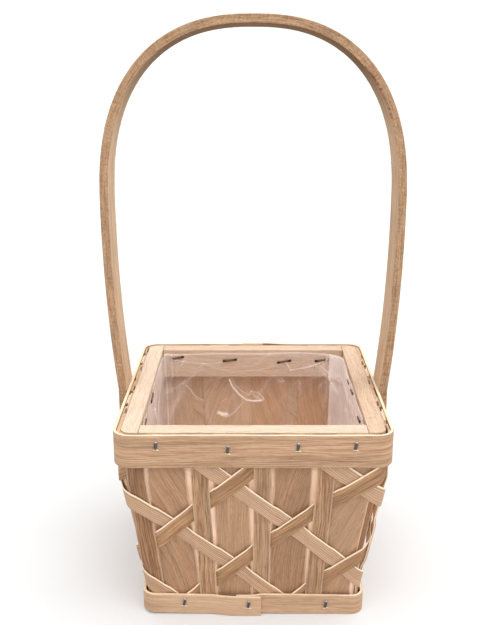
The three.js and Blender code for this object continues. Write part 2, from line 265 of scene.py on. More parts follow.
# Grain of the wide splints of a side: its turn and its bow.
WIDE_GRAIN = ((-0.34, -1.0), (0.04, 0.3), (0.14, 0.8), (0.30, 0.6))
# What each of the front's wide splints adds to their common width.
FRONT_SPREAD = (0.0019, 0.0, 0.0015, 0.0026)
# How far the wide splints of the other sides reach in behind the uprights, in millimetres. They
# fill the room between those, while the front's keep one width each and leave slits.
WIDE_TUCKS = (None, (0.6, 0.3, 0.9, 0.8), (0.8, 0.5, 1.2, 0.9), (0.7, 0.3, 0.9, 0.8))
# Upright strips: names of the piece and its node, cells, slot, and place after an upright.
STRIPS = {
    "upright": ("narrow_upright", "upright_splint", (110, 6), "splint_wood", 0.0),
    "wide": ("backing", "wide_splint", (70, 14), "wide_splint_wood", 0.5),
}
# Staples through the bands, in millimetres along a side and up. The middle one of the foot band
# goes through its lap on the front.
TOP_STAPLES = ((-71.5, 155.9), (-18.8, 152.8), (32.7, 154.9), (74.9, 155.7))
FOOT_STAPLES = ((-54.6, 11.8), (-3.7, 11.3), (57.8, 9.8))
# Staples through the handle's legs, in millimetres back and up.
LEG_STAPLES = ((-7.5, 156), (6.5, 154), (-5.5, 144), (8, 145))
# Staples that hold the film, by side, in millimetres along it and up.
LINER_STAPLES = {
    2: ((71.8, 155.9), (21.7, 153.6), (-29.8, 152.3), (-65.8, 153.6)),
    3: ((14.8, 156.2), (63.0, 154.4)),
    1: ((25.2, 154.7), (-0.4, 155.7), (-48.7, 151.6)),
    0: ((-66, 155), (-20, 153), (28, 155), (68, 154)),
}
# How milky the film looks, which also sets its painted glow: on its back wall, in the doubled
# part of that, and elsewhere.
MILK_AND_GLOW = {"back": 0.085, "doubled": 0.065, "right": 0.53, "left": 0.42, "front": 0.76, "floor": 0.3}
# Pleats in the film's corners: place along a side, width and depth, in millimetres and a share.
PLEATS = ((77.5, 1.6, 1.0), (72.5, 1.4, 0.3), (-76, 1.8, 0.9), (-71, 1.5, 0.6))
# Streaks of the film, creased and brightened by a painted highlight glow: points, half width and
# height, in millimetres. The points are (x, z) on the back wall, and (y, z) on the right and the
# left one.
BACK_STREAKS = (
    (((-76, 155), (-66, 153), (-56, 151), (-45, 150), (-36, 150), (-26, 152)), 0.8, 0.5),
    (((-48, 150), (-36, 146), (-24, 142), (-10, 142), (7, 144), (19, 147), (31, 151)), 1.3, 0.3),
    (((31.9, 150.6), (36.2, 143.1)), 0.9, 0.8),
    (((36.2, 143.1), (52, 146), (62, 150), (71, 155)), 0.9, 0.9),
    (((64, 148), (72.5, 141)), 0.8, 0.6),
    (
        ((-22.2, 133.6), (-19.3, 126), (-13.3, 118.3), (-6.1, 112.5), (1.2, 111.4), (8.3, 111.9)),
        1.3, 1.0,
    ),
    (((-20.0, 134.5), (-16.4, 127), (-10.5, 121.2), (-4.7, 117.0), (-1.2, 121.2)), 0.8, 0.5),
    (((-1.2, 121.4), (5.3, 119.6), (9.4, 116.0), (11.0, 112.6)), 0.8, 0.6),
    (((-1.2, 119.0), (4.0, 115.5), (9.0, 112.6)), 2.4, 0.3),
    (((-8.5, 110.6), (-13.3, 104.8), (-18.2, 99), (-23.7, 95.1), (-30.3, 96.4)), 0.9, 0.5),
    (((-32.5, 99.5), (-29, 97.9), (-25, 97.9)), 2.6, 1.0),
    (((-64.7, 128.5), (-60, 123.4), (-54.2, 115.1)), 0.8, 0.6),
    (((-50.6, 113.2), (-47.2, 112.5)), 0.7, 0.7),
    (((-29, 110.6), (-24.1, 114.5)), 0.8, 0.4),
    (((26, 133), (28.6, 131)), 3.4, 0.4),
    (((45, 133), (45.5, 118)), 2.8, 0.22),
    (((-83, 155), (-82.4, 136), (-82.1, 113), (-81.9, 87)), 1.0, 0.6),
)
FILM_STREAKS = {
    1: (
        (((83, 137), (63, 134.5), (39, 133), (17, 135.5)), 2.2, 0.3),
        (((10, 144), (-18, 148), (-37, 149), (-51, 148.5)), 2.0, 0.45),
        (((79, 141), (45, 140.5), (8, 142), (-26, 141.5)), 2.2, 0.3),
        (((60, 152.5), (10, 155.5), (-60, 157.5)), 1.8, 0.4),
    ),
    2: BACK_STREAKS,
    3: (
        (((59, 159), (31, 157.7), (-7, 160), (-42, 161), (-73, 162)), 1.8, 0.4),
        (((47, 155), (16, 154), (-21, 155.5), (-43, 155)), 2.0, 0.35),
        (((74, 145), (57, 134), (42, 126), (31, 116)), 2.2, 0.3),
        (((8, 149), (-24, 151), (-42, 150)), 2.0, 0.3),
    ),
}


def mix(a, b, t):
    return a + (b - a) * t


def smooth(t):
    """0 below 0, 1 above 1 and an even curve between."""
    t = min(1.0, max(0.0, t))
    return t * t * (3 - 2 * t)


def between(value, low, high, soft):
    """1 between two values and 0 beyond them, with soft ends inside."""
    return smooth((value - low) / soft) * smooth((high - value) / soft)


def smooth_array(t):
    t = np.clip(t, 0, 1)
    return t * t * (3 - 2 * t)


def sway(*place):
    """A slow seeded wander from -1 to 1."""
    return noise.noise(Vector(place))


class Wall:
    """The wall's shape: its width at each height, and where a strip that is bent round it lies."""

    def __init__(self):
        scene = bpy.context.scene
        wall, weave = scene.basket_wall, scene.basket_weave
        for group in (wall, weave):
            for name in group.bl_rna.properties.keys():
                if name not in ("rna_type", "name"):
                    setattr(self, name, getattr(group, name))
        self.stack = 3 * self.layer + self.clearance
        self.from_z = self.foot + self.bend / 2
        self.to_z = self.frame_z - self.bend / 2
        self.slope = (self.frame - self.base) / (self.to_z - self.from_z)
        self.low_end = self.inset
        self.high_end = self.rim - self.inset
        pitch = self.upright_middle(1, 0) - self.upright_middle(0, 0)
        self.upright_reach = (self.upright / 2 + self.ease) / pitch
        self.crossing_reach = self.slant / (2 * self.rise)
        self.crossed = self.slant / 2 + self.rise * self.upright_reach

    def turned(self, z, kink):
        t = min(1.0, max(0.0, (z - kink) / self.bend + 0.5))
        return t * t * self.bend / 2 + max(0.0, z - kink - self.bend / 2)

    def half(self, z):
        return self.base + self.slope * (self.turned(z, self.from_z) - self.turned(z, self.to_z))

    def share(self, z):
        return (self.half(z) - self.base) / (self.frame - self.base)

    def corner(self, z):
        return mix(self.base_corner, self.top_corner, self.share(z))

    def flat(self, z):
        return self.half(z) - self.corner(z)

    def side(self, z):
        """Half the length of one side, from the middle of one corner to the next."""
        return self.flat(z) + (self.corner(z) + self.stack / 2) * QUARTER / 2

    def upright_middle(self, number, z):
        first = mix(self.start_foot, self.start_top, self.share(z)) - self.side(z)
        last = self.side(z) - mix(self.end_foot, self.end_top, self.share(z))
        return mix(first, last, number / 3)

    def point(self, side, along, level, out, z=None):
        """A point along a side and so far out from the wall at one level, at its height or z."""
        half, flat, corner = self.side(level), self.flat(level), self.corner(level)
        corners = round(along / (2 * half))
        rest = along - corners * 2 * half
        turn = max(0.0, abs(rest) - flat) / (corner + self.stack / 2)
        radius = corner + out
        x = math.copysign(min(flat, abs(rest)) + radius * math.sin(turn), rest)
        y = -(flat + radius * math.cos(turn))
        angle = (side + corners) * QUARTER
        c, s = math.cos(angle), math.sin(angle)
        return Vector((x * c - y * s, x * s + y * c, level if z is None else z))

    def slot(self, slot, z):
        """Side and distance along it of the upright numbered slot, or a fraction between two."""
        side = math.floor(slot / 4)
        place = slot - side * 4
        if place <= 3:
            return side, self.upright_middle(place, z)
        after = self.upright_middle(0, z) + 2 * self.side(z)
        return side, mix(self.upright_middle(3, z), after, place - 3)

    def climb(self, distance, near, far, at_near):
        """Depth of a splint's inner face near a crossing, low or high."""
        level = mix(at_near, 1 - at_near, smooth((distance - near) / (far - near)))
        return self.clearance + self.layer * (1 + level)

    def loosen(self, z):
        """How much deeper the layers lie between the bands, where nothing presses them."""
        return 1 + self.relief * between(z, self.foot, self.frame_z, 0.02)

    def slant_at(self, slot, z):
        """Level of the slanting splint that passes here, or None: 0 low and 1 high."""
        for rising in (1, -1):
            first = self.crossing - rising * self.rise * (slot - 0.5)
            away = (z - first + self.rise) % (2 * self.rise) - self.rise
            if abs(away) < self.slant / 2 + self.spare:
                distance = abs(slot - round(slot))
                near, far = self.upright_reach, 0.5 - self.crossing_reach
                level = smooth((distance - near) / (far - near))
                return level if rising > 0 else 1 - level
        return None

    def fill(self, slot, z):
        """Share of the room outside a splint's own face that it takes up under the top band."""
        if self.slant_at(slot, z) is not None:
            return 0.0
        full = 0.6 if sway(slot * 2.1, 7, 7) > 0.28 else 1.0
        return full * smooth((z - self.rim + 0.012) / 0.008)


def shade_smooth(bm):
    for face in bm.faces:
        face.smooth = True


def bevel(bm, edges, offset, segments):
    if edges:
        bmesh.ops.bevel(
            bm, geom=edges, offset=offset, offset_type="OFFSET", segments=segments, profile=0.5,
            affect="EDGES", material=-1, clamp_overlap=True,
        )
    bm.normal_update()


def blank(size, cells, ease, rounds=2, deep=1):
    """A straight strip with its length on X, its width on Y and its outer face up, edges eased."""
    long, wide, thick = size
    bm = bmesh.new()
    bmesh.ops.create_grid(bm, x_segments=cells[0], y_segments=cells[1], size=0.5)
    flat = Matrix.Translation((long / 2, wide / 2, thick)) @ Matrix.Diagonal((long, wide, 1, 1))
    bmesh.ops.transform(bm, matrix=flat, verts=bm.verts)
    bmesh.ops.solidify(bm, geom=bm.faces[:], thickness=thick)
    bm.normal_update()
    upright = [e for e in bm.edges if abs(e.verts[0].co.z - e.verts[1].co.z) > thick / 2]
    standing = set(upright)
    arrises = [
        e for e in bm.edges
        if len(e.link_faces) == 2 and e.calc_face_angle() > 1 and e not in standing
    ]
    if deep > 1:
        bmesh.ops.subdivide_edges(bm, edges=upright, cuts=deep - 1, use_grid_fill=True)
    bevel(bm, arrises, ease, rounds)
    return bm


def mark_grain(
    bm, width, shift=(0.0, 0.0), turn=0.0, bow=0.0, upper=False, tone=0.0, inner=False
):
    """Lays the grain map on a straight strip, in metres, turned or bowed, with each point's way to
    the pale edge and the piece's own tone."""
    grain = bm.loops.layers.uv.new("grain")
    edge = bm.verts.layers.float.new("edge_mm")
    own = bm.verts.layers.float.new("tone")
    c, s = math.cos(turn), math.sin(turn)
    middle = max(v.co.x for v in bm.verts) / 2
    for vert in bm.verts:
        way = width - vert.co.y
        # With upper set, the pale rim follows the upper edge alone, where light falls: painted
        # highlight over the paler cut.
        vert[edge] = max(0.0, way if upper else min(vert.co.y, way)) / MM
        vert[own] = tone
    shade_smooth(bm)
    for face in bm.faces:
        side = abs(face.normal.z) < 0.5
        # Ends and inward faces take the paler inner colour, which is painted light.
        end = inner and abs(face.normal.x) > 0.7
        under = inner and face.normal.z < 0 and not side
        face.material_index = 2 if end or under else int(side)
        for loop in face.loops:
            x, y, z = loop.vert.co
            u, v = x, y + z * side + bow * (x - middle) ** 2
            loop[grain].uv = (c * u - s * v + shift[0], s * u + c * v + shift[1])


def bend(bm, place):
    for vert in bm.verts:
        vert.co = place(*vert.co)


def link_mesh(name, bm):
    mesh = bpy.data.meshes.new(name)
    bm.to_mesh(mesh)
    bm.free()
    made = bpy.data.objects.new(name, mesh)
    bpy.context.scene.collection.objects.link(made)
    return made


def settle(name, bm, materials, nodes=(), flat=True):
    """Makes the piece's object, which rides on the basket and stands for its CAD nodes. Broad
    faces can stay flat beside their eased edges."""
    piece = link_mesh(name, bm)
    for kind in materials:
        piece.data.materials.append(material(kind))
    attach(piece, "root")
    if nodes:
        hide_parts(*nodes)
    if flat:
        weighted = piece.modifiers.new("flat faces", "WEIGHTED_NORMAL")
        weighted.mode = "FACE_AREA"
        weighted.weight = 80
    return piece


BROWN = (0.58, 0.46, 0.35)


class Shader:
    """A node material in the making."""

    def __init__(self, name):
        self.material = bpy.data.materials.new(name)
        self.material.use_nodes = True
        self.tree = self.material.node_tree
        self.tree.nodes.clear()

    def node(self, kind, out=0, settings=None, **inputs):
        """Adds a node, sets or links its inputs, and gives the output asked for."""
        made = self.tree.nodes.new("ShaderNode" + kind)
        for key, value in (settings or {}).items():
            setattr(made, key, value)
        for key, value in inputs.items():
            at = int(key[1:]) if key[0] == "i" and key[1:].isdigit() else key.replace("_", " ")
            socket = made.inputs[at]
            if isinstance(value, bpy.types.NodeSocket):
                self.tree.links.new(value, socket)
            elif isinstance(value, tuple) and len(value) == 3 and socket.type == "RGBA":
                socket.default_value = (*value, 1)
            else:
                socket.default_value = value
        return made.outputs[out]

    def attribute(self, name):
        return self.node("Attribute", out=2, settings={"attribute_name": name})

    def grain(self):
        return self.node("UVMap", settings={"uv_map": "grain"})

    def stretch(self, vector, along, across, at=(0, 0, 0)):
        """The grain map at this many features to the millimetre along and across."""
        scale = (along / MM, across / MM, 1)
        return self.node("Mapping", Vector=vector, Scale=scale, Location=at)

    def noise(self, vector, detail=2.0, roughness=0.5, distortion=0.0):
        return self.node(
            "TexNoise", Vector=vector, Scale=1.0, Detail=detail, Roughness=roughness,
            Distortion=distortion,
        )

    def cloud(self, scale, **more):
        """Noise in the piece's own space, with so many features to the metre on each axis."""
        place = self.node("TexCoord", out=3)
        return self.noise(self.node("Mapping", Vector=place, Scale=scale), **more)

    def ramp(self, value, low, high, top=1.0, bottom=0.0):
        return self.node(
            "MapRange", settings={"clamp": True}, Value=value, From_Min=low, From_Max=high,
            To_Min=bottom, To_Max=top,
        )

    def blend(self, factor, a, b, mode="MIX"):
        settings = {"data_type": "RGBA", "blend_type": mode}
        return self.node("Mix", out=2, settings=settings, i0=factor, i6=a, i7=b)

    def stain(self, base, share, tone=BROWN):
        return self.blend(share, base, tone, "MULTIPLY")

    def math(self, operation, a, b=0.0):
        return self.node("Math", settings={"operation": operation}, i0=a, i1=b)

    def times(self, a, b):
        return self.math("MULTIPLY", a, b)

    def total(self, *terms):
        return functools.reduce(functools.partial(self.math, "ADD"), terms)

    def surface(self, base, roughness, bump=None, depth=0.0, **more):
        inputs = {"Base_Color": base, "Roughness": roughness, **more}
        if bump is not None:
            inputs["Normal"] = self.node("Bump", Height=bump, Strength=1.0, Distance=depth)
        made = self.tree.nodes.new("ShaderNodeOutputMaterial")
        self.tree.links.new(self.node("BsdfPrincipled", **inputs), made.inputs["Surface"])
        return self.material


def darker(tone, share, tint=(1.0, 1.0, 1.0)):
    return tuple(c * share * t for c, t in zip(tone, tint))


def veneer(
    name, tone, streak, line, fleck, across=0.8, edge=0.0, along=0.02, wave=4.0, rib=0.0,
    worn=BROWN, gloss=0.5,
):
    """Peeled or sliced wood: slow bands, brown streaks, crisp lines, short pores and a paler cut
    edge, which is partly painted highlight. Some veneer also has regular fine ribs, this many
    millimetres apart."""
    s = Shader(name)
    grain = s.grain()
    drift = s.noise(s.stretch(grain, 0.02, 0.03), detail=1.0)
    bent = s.node(
        "VectorMath", settings={"operation": "MULTIPLY_ADD"},
        i0=s.node("CombineXYZ", X=0.0, Y=drift, Z=0.0), i1=(0, wave * MM, 0), i2=grain,
    )
    bands = s.noise(s.stretch(bent, along * 0.3, 0.12))
    streaks = s.noise(s.stretch(bent, along * 0.7, 0.34, (5, 2, 0)), roughness=0.6)
    lines = s.noise(s.stretch(bent, along * 1.6, across, (3, 7, 0)), roughness=0.7)
    pores = s.noise(s.stretch(bent, 0.14, across * 2, (11, 5, 0)), detail=1.0)
    brown, pale = darker(tone, 1 - 0.5 * streak), darker(tone, 1 + 0.4 * streak)
    base = s.blend(s.ramp(bands, 0.36, 0.64), brown, pale)
    base = s.stain(base, s.ramp(streaks, 0.47, 0.60, 1.6 * streak))
    base = s.stain(base, s.ramp(lines, 0.54, 0.42, line))
    if rib:
        ribs = s.node(
            "TexWave", out=1, settings={"bands_direction": "Y"}, Vector=s.stretch(bent, 0.02, 1.0),
            Scale=0.314 / rib, Distortion=1.2, Detail=1.0,
        )
        base = s.stain(base, s.ramp(ribs, 0.45, 0.1, 2.3 * line))
    dots = s.ramp(pores, 0.60, 0.68, fleck)
    base = s.stain(base, dots, (0.5, 0.36, 0.26))
    own = s.attribute("tone")
    base = s.blend(s.ramp(own, 0.0, 1.0), base, darker(tone, 1.22, (1.0, 1.04, 1.1)))
    base = s.stain(base, s.ramp(own, 0.0, -1.0), worn)
    # Pale rim along the edges: the paler cut wood, widened onto the face as a painted highlight.
    if edge:
        cut = tuple(bpy.context.scene.basket_finish.cut)
        base = s.blend(s.ramp(s.attribute("edge_mm"), 1.1, 0.75, edge), base, cut)
    return s.surface(
        base, s.ramp(lines, 0.3, 0.7, 0.6, 0.76), bump=s.total(lines, s.times(dots, -0.6)),
        depth=0.0003, Specular_IOR_Level=gloss,
    )


def cut_wood(tone):
    """The fresh, fibrous cut along a strip's edge."""
    s = Shader("cut edge")
    fibre = s.noise(s.stretch(s.grain(), 0.12, 2.5), detail=3.0, roughness=0.6)
    base = s.blend(s.ramp(fibre, 0.62, 0.40), tone, darker(tone, 0.80, (1.0, 0.93, 0.84)))
    return s.surface(base, 0.75, bump=fibre, depth=0.0001)


def sawn_edge(tone):
    """The handle's rough sawn edge, with torn fibres, oblique saw marks and brown chips."""
    s = Shader("handle edge")
    grain = s.grain()
    fibre = s.noise(s.stretch(grain, 0.05, 0.9), detail=3.0, roughness=0.7, distortion=0.3)
    marks = s.node("Mapping", Vector=grain, Scale=(520, 1300, 1), Rotation=(0, 0, 0.7))
    torn = s.noise(marks, roughness=0.7)
    patch = s.noise(s.stretch(grain, 0.04, 0.25, (5, 3, 0)))
    saw = s.noise(s.stretch(grain, 0.45, 0.07, (9, 1, 0)), roughness=0.6)
    base = s.blend(s.ramp(patch, 0.38, 0.62), darker(tone, 0.92), darker(tone, 1.14))
    base = s.stain(base, s.ramp(saw, 0.50, 0.36, 0.3))
    base = s.stain(base, s.ramp(fibre, 0.53, 0.39, 0.75), (0.62, 0.47, 0.37))
    base = s.stain(base, s.ramp(torn, 0.46, 0.36, 0.45))
    base = s.blend(s.ramp(torn, 0.56, 0.66, 0.55), base, tuple(min(1, c * 1.5) for c in tone))
    base = s.stain(base, s.ramp(s.attribute("chip"), 0.1, 0.5), (0.5, 0.35, 0.25))
    return s.surface(base, 0.85, bump=s.total(fibre, saw, s.times(torn, 0.9)), depth=0.0009)


def clear_film(tone):
    """Thin clear film: see-through where it lies flat, milky where it is creased, with a painted
    glow where it is milky and along its creases.
    """
    s = Shader("clear film")
    cloud = s.cloud((30, 30, 22), detail=3.0)
    crinkle = s.cloud((55, 55, 38), distortion=1.2)
    ridge = s.math("ABSOLUTE", s.math("SUBTRACT", crinkle, 0.5))
    line = s.times(s.ramp(ridge, 0.022, 0.0), s.ramp(cloud, 0.5, 0.62))
    crease, milk = s.attribute("crease"), s.attribute("milk")
    facing = s.node("LayerWeight", out=1, Blend=0.3)
    # Soft level folds along the walls, which vary both the film's milkiness and its painted glow.
    drape = s.ramp(s.cloud((14, 12, 55), detail=1.0), 0.35, 0.65, 1.1, 0.9)
    haze = s.times(s.times(milk, s.ramp(cloud, 0.3, 0.7, 1.2, 0.75)), drape)
    alpha = s.total(haze, s.times(facing, 0.2), s.times(line, 0.1), s.times(crease, 0.7))
    # Painted glow: the film is given emission, warmer on its milky front wall, in place of light
    # that comes through it from its other side.
    tone = s.blend(s.ramp(milk, 0.6, 0.75), tone, darker(tone, 1.0, (1.0, 0.82, 0.64)))
    # Creases glow too: painted highlights along them.
    painted_glow = s.math("MAXIMUM", s.times(s.ramp(milk, 0.2, 1.0), drape), s.times(crease, 0.6))
    s.material.surface_render_method = "BLENDED"
    return s.surface(
        tone, 0.2, bump=s.total(cloud, s.times(line, 0.25)), depth=0.002,
        Alpha=s.math("MINIMUM", alpha, 0.92), IOR=1.5,
        Emission_Color=s.blend(painted_glow, (0.0, 0.0, 0.0), tone), Emission_Strength=0.45,
    )


def steel(tone, name="staple steel", rust=0.12):
    """Drawn wire: plain with a painted highlight on its upper end, or rusty between dark ends."""
    s = Shader(name)
    spots = s.cloud((420, 420, 420), detail=3.0)
    way = s.attribute("way_up")
    base = s.blend(s.ramp(spots, 0.42, 0.6, rust), tone, srgb(120, 78, 48))
    if rust > 0.5:
        middle = s.ramp(s.math("ABSOLUTE", way), 0.36, 0.28)
        base = s.blend(middle, srgb(46, 42, 40), s.blend(rust, base, srgb(140, 98, 62)))
    else:
        # Painted highlight: the upper end of a plain staple is painted light grey.
        base = s.blend(s.ramp(way, 0.34, 0.5), base, srgb(172, 172, 174))
    return s.surface(base, s.ramp(spots, 0.3, 0.7, 0.5, 0.32), Metallic=0.85 - 0.5 * rust)


def veneered(name, **figure):
    return lambda tone: veneer(name, tone, **figure)


# How each material is made from its colour, which has the same name among the finishes.
RECIPES = {
    "upright": veneered("upright splint", streak=0.38, line=0.85, across=1.0, fleck=0.5, edge=0.2),
    "rising": veneered("rising splint", streak=0.28, line=0.7, across=1.1, fleck=0.4, edge=1.0),
    "falling": veneered(
        "falling splint", streak=0.10, line=0.35, fleck=0.2, edge=1.0, along=0.006, rib=1.5
    ),
    "wide": veneered(
        "wide splint", streak=0.18, line=0.5, across=1.4, fleck=0.5, edge=0.3, along=0.012, wave=6
    ),
    "band": veneered("bent band", streak=0.22, line=0.68, across=1.35, fleck=0.4, along=0.017),
    "frame": veneered(
        "planed frame", streak=0.1, line=0.3, across=1.0, fleck=0.45, wave=8,
        worn=(0.81, 0.64, 0.51),
    ),
    # The handle face darkens to this brown where its tone holds painted shade under the arch and on
    # the right leg.
    "handle_face": veneered(
        "handle face", streak=0.16, line=0.45, across=0.7, fleck=0.3, worn=(0.24, 0.15, 0.05),
        gloss=0.1,
    ),
    "board": veneered("base board", streak=0.25, line=0.3, across=0.4, fleck=0.3, wave=20),
    # The inner faces: a paler copy of the veneer, painted light for the inside of the basket.
    "inner": veneered(
        "inner face", streak=0.12, line=0.22, across=0.5, fleck=0.3, wave=6,
        worn=(1.0, 0.74, 0.46),
    ),
    "handle": sawn_edge,
    "cut": cut_wood,
    "film": clear_film,
    "steel": steel,
}


@functools.cache
def material(name):
    """One of the basket's materials, made once for each run."""
    finish = bpy.context.scene.basket_finish
    if name == "rusty steel":
        return steel(tuple(finish.steel), "rusty staple", 0.7)
    return RECIPES[name](tuple(getattr(finish, name)))


def upright_strip(kind, side, number, seed, width, middle, depth, grain, flare=lambda z: 1.0):
    """An upright strip of veneer from the foot to the rim, bent to the wall."""
    wall = Wall()
    name, node, cells, slot, after = STRIPS[kind]
    tall = wall.high_end - wall.low_end
    bm = blank((tall, width, wall.splint), cells, wall.arris)
    mark_grain(bm, width, (seed * 0.37, seed * 0.113), inner=True, **grain)

    def place(s, t, d):
        z = wall.low_end + s
        share = t / width
        stray = wall.wander * mix(sway(s * 22, seed, 1), sway(s * 22, seed, 2), share)
        along = middle(z) + (width / 2 - t) * flare(z) + stray
        cup = wall.cup * sway(s * 30, share * 1.5, seed)
        inner = depth(z) * wall.loosen(z)
        fill = wall.fill(4 * side + number + after + (width / 2 - t) / PITCH, z)
        outer = mix(inner + wall.splint, wall.stack - HAIR, fill)
        return wall.point(side, along, z, mix(inner, outer, d / wall.splint) + cup)

    bend(bm, place)
    where = f"_{SIDES[side]}_{number + 1}"
    return settle(name + where, bm, [kind, "cut", "inner"], [node + where])


def make_upright(side, number):
    """A narrow upright, which goes over the rising splints and under the falling ones."""
    wall = Wall()
    first = wall.crossing + wall.rise / 2
    crossings = [
        (first + n * wall.rise, 1 if (n + number) % 2 else 0)
        for n in range(-1, 6) if first + n * wall.rise < wall.rim + wall.rise
    ]

    def depth(z):
        near, level = min(crossings, key=lambda c: abs(c[0] - z))
        return wall.climb(abs(near - z), wall.crossed, wall.rise - wall.crossed, level)

    seed = 10 * side + number + 1
    grain = {"turn": 0.02 * sway(seed, 4, 4), "tone": UPRIGHT_TONES[side][number]}
    return upright_strip(
        "upright", side, number, seed, wall.upright, lambda z: wall.upright_middle(number, z),
        depth, grain,
    )


def make_wide(side, number):
    """A wide backing splint, which lies behind the weave. The last one reaches for the corner."""
    wall = Wall()
    last = number == 3
    spread = 0.0 if side else FRONT_SPREAD[number]
    width = wall.wide + spread

    def flare(z):
        if side == 0:
            return 1.0
        room = wall.upright_middle(1, z) - wall.upright_middle(0, z) - wall.upright
        return (room + 2 * WIDE_TUCKS[side][number] * MM + last * wall.corner_width) / width

    def middle(z):
        between_uprights = wall.upright_middle(number + 0.5, z)
        if side and last:
            return between_uprights + wall.corner_shift
        furthest = wall.flat(z) - width / 2 - wall.corner_margin + last * wall.front_shift
        return min(between_uprights - (0 if last else spread / 2), furthest)

    turn, bow = WIDE_GRAIN[(number + 3 * side) % 4]
    return upright_strip(
        "wide", side, number, 100 + 10 * side + number, width, middle, lambda z: wall.clearance,
        {"turn": turn, "bow": bow, "tone": WIDE_TONES[side][number]}, flare,
    )


def make_slant(slot, rising):
    """A slanting splint, rising (1) or falling (-1), that crosses at half height after slot."""
    wall = Wall()
    middle = wall.crossing + 2 * wall.rise
    low = (wall.low_end - wall.slant / 2 + wall.tip - middle) / wall.rise
    high = (wall.high_end + wall.slant / 2 - wall.tip - middle) / wall.rise
    start = slot + 0.5 + (low if rising > 0 else -high)
    end = slot + 0.5 + (high if rising > 0 else -low)
    long = (end - start) * math.hypot(PITCH, wall.rise)
    wide = wall.slant * PITCH / math.hypot(PITCH, wall.rise)
    seed = slot * 3.7 + rising * 50
    bm = blank((long, wide, wall.splint), (190, 4), wall.arris)
    tone = 0.35 * sway(seed, 8, 1)
    # The slants' pale rim, partly painted highlight, runs along their upper edge alone, where the
    # light falls.
    mark_grain(bm, wide, (seed * 0.41, seed * 0.17), upper=True, tone=tone, inner=True)

    def place(s, t, d):
        g = mix(start, end, s / long)
        share = t / wide
        centre = middle + rising * wall.rise * (g - slot - 0.5)
        under, over = centre - wall.slant / 2, centre + wall.slant / 2
        bottom, top = max(wall.low_end, under), min(wall.high_end, over)
        z = mix(bottom, top, share)
        if (bottom, top) == (under, over):
            z += wall.wander * mix(sway(s * 20, seed, 3), sway(s * 20, seed, 4), share)
        distance = abs(g - round(g))
        level = 0 if rising > 0 else 1
        out = wall.climb(distance, wall.upright_reach, 0.5 - wall.crossing_reach, level)
        side, along = wall.slot(g, z)
        out = out * wall.loosen(z) + d + wall.slant_cup * sway(s * 26, share * 1.5, seed)
        return wall.point(side, along, z, out)

    bend(bm, place)
    kind = "rising" if rising > 0 else "falling"
    number = slot // 2 + 1
    return settle(
        f"{kind}_slant_{number}", bm, [kind, "cut", "inner"],
        [f"{kind}_splint_{number}"],
    )


def make_band(name, node, side, lap_end, low, high, level, lift):
    """A veneer band bent round the wall, whose outer end laps over its inner one. It is lifted by
    so many millimetres at its inner end, its first and last corners and its outer end."""
    wall, sizes = Wall(), bpy.context.scene.basket_bands
    inner = lap_end - sizes.lap
    half = wall.side(level)
    around = 8 * half
    height, thick = high - low, sizes.thickness
    bm = blank((around + sizes.lap, height, thick), (420, 6), sizes.arris, rounds=3)
    mark_grain(bm, height, (0.7 + low, 0.2))
    if low < wall.foot:
        own = bm.verts.layers.float["tone"]
        for vert in bm.verts:
            vert[own] = mix(0.2, 0.5, smooth((vert.co.x + inner - 7 * half) / 0.02))

    def place(s, t, d):
        along = inner + s
        over = smooth((along - around - inner + wall.clearance) / sizes.ramp + 1)
        out = wall.stack + over * (thick + wall.clearance) + d
        if d > thick / 2:
            out += sizes.swell * (1 + sway(s * 18, t * 30, low * 9))
        z = low + t + sizes.wander * sway(s * 12, 5, low) * (t > height / 2)
        stops = (lap_end - 0.006, lap_end, half, 5 * half, 7 * half, around + lap_end)
        z += np.interp(along, stops, lift) * MM
        return wall.point(side, along, level, out, z)

    bend(bm, place)
    return settle(name, bm, ["band", "cut"], [node])


def board(low, high, corner_edges, radius, along, tone=0.0):
    """A board between two corners, with some upright edges rounded and the rest eased."""
    bm = bmesh.new()
    bmesh.ops.create_cube(bm, size=1)
    size, middle = high - low, (low + high) / 2
    bmesh.ops.transform(
        bm, matrix=Matrix.Translation(middle) @ Matrix.Diagonal((*size, 1)), verts=bm.verts
    )
    upright = [e for e in bm.edges if abs(e.verts[0].co.z - e.verts[1].co.z) > size.z / 2]
    bevel(bm, [e for e in upright if corner_edges(e.verts[0].co)], radius, 8)
    bevel(bm, [e for e in bm.edges if e.calc_face_angle() > 0.6], BOARD_EASE, 3)
    grain = bm.loops.layers.uv.new("grain")
    own = bm.verts.layers.float.new("tone")
    for vert in bm.verts:
        vert[own] = tone
    across = 1 - along
    shade_smooth(bm)
    for face in bm.faces:
        ends = abs(face.normal[along]) > 0.7
        for loop in face.loops:
            co = loop.vert.co
            deep = co.z if abs(face.normal.z) < 0.7 else 0
            loop[grain].uv = (co[along] * (0.1 if ends else 1) + middle.x * 3, co[across] + deep)
    return bm


def make_frame(side):
    """A planed strip of the mouth frame: the side strips run through, the others sit between."""
    wall = Wall()
    through = side % 2
    edge = wall.frame - wall.top_corner
    bm = board(
        *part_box("frame_" + SIDES[side]), lambda co: through and abs(co.x) > edge, wall.top_corner,
        through, FRAME_TONES[side],
    )
    return settle(
        "mouth_frame_" + SIDES[side], bm, ["frame"], ["frame_" + SIDES[side]]
    )


def make_base():
    """The sawn base board."""
    bm = board(*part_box("base_board"), lambda co: True, Wall().base_corner, 0)
    return settle("sawn_base", bm, ["board"], ["base_board"])


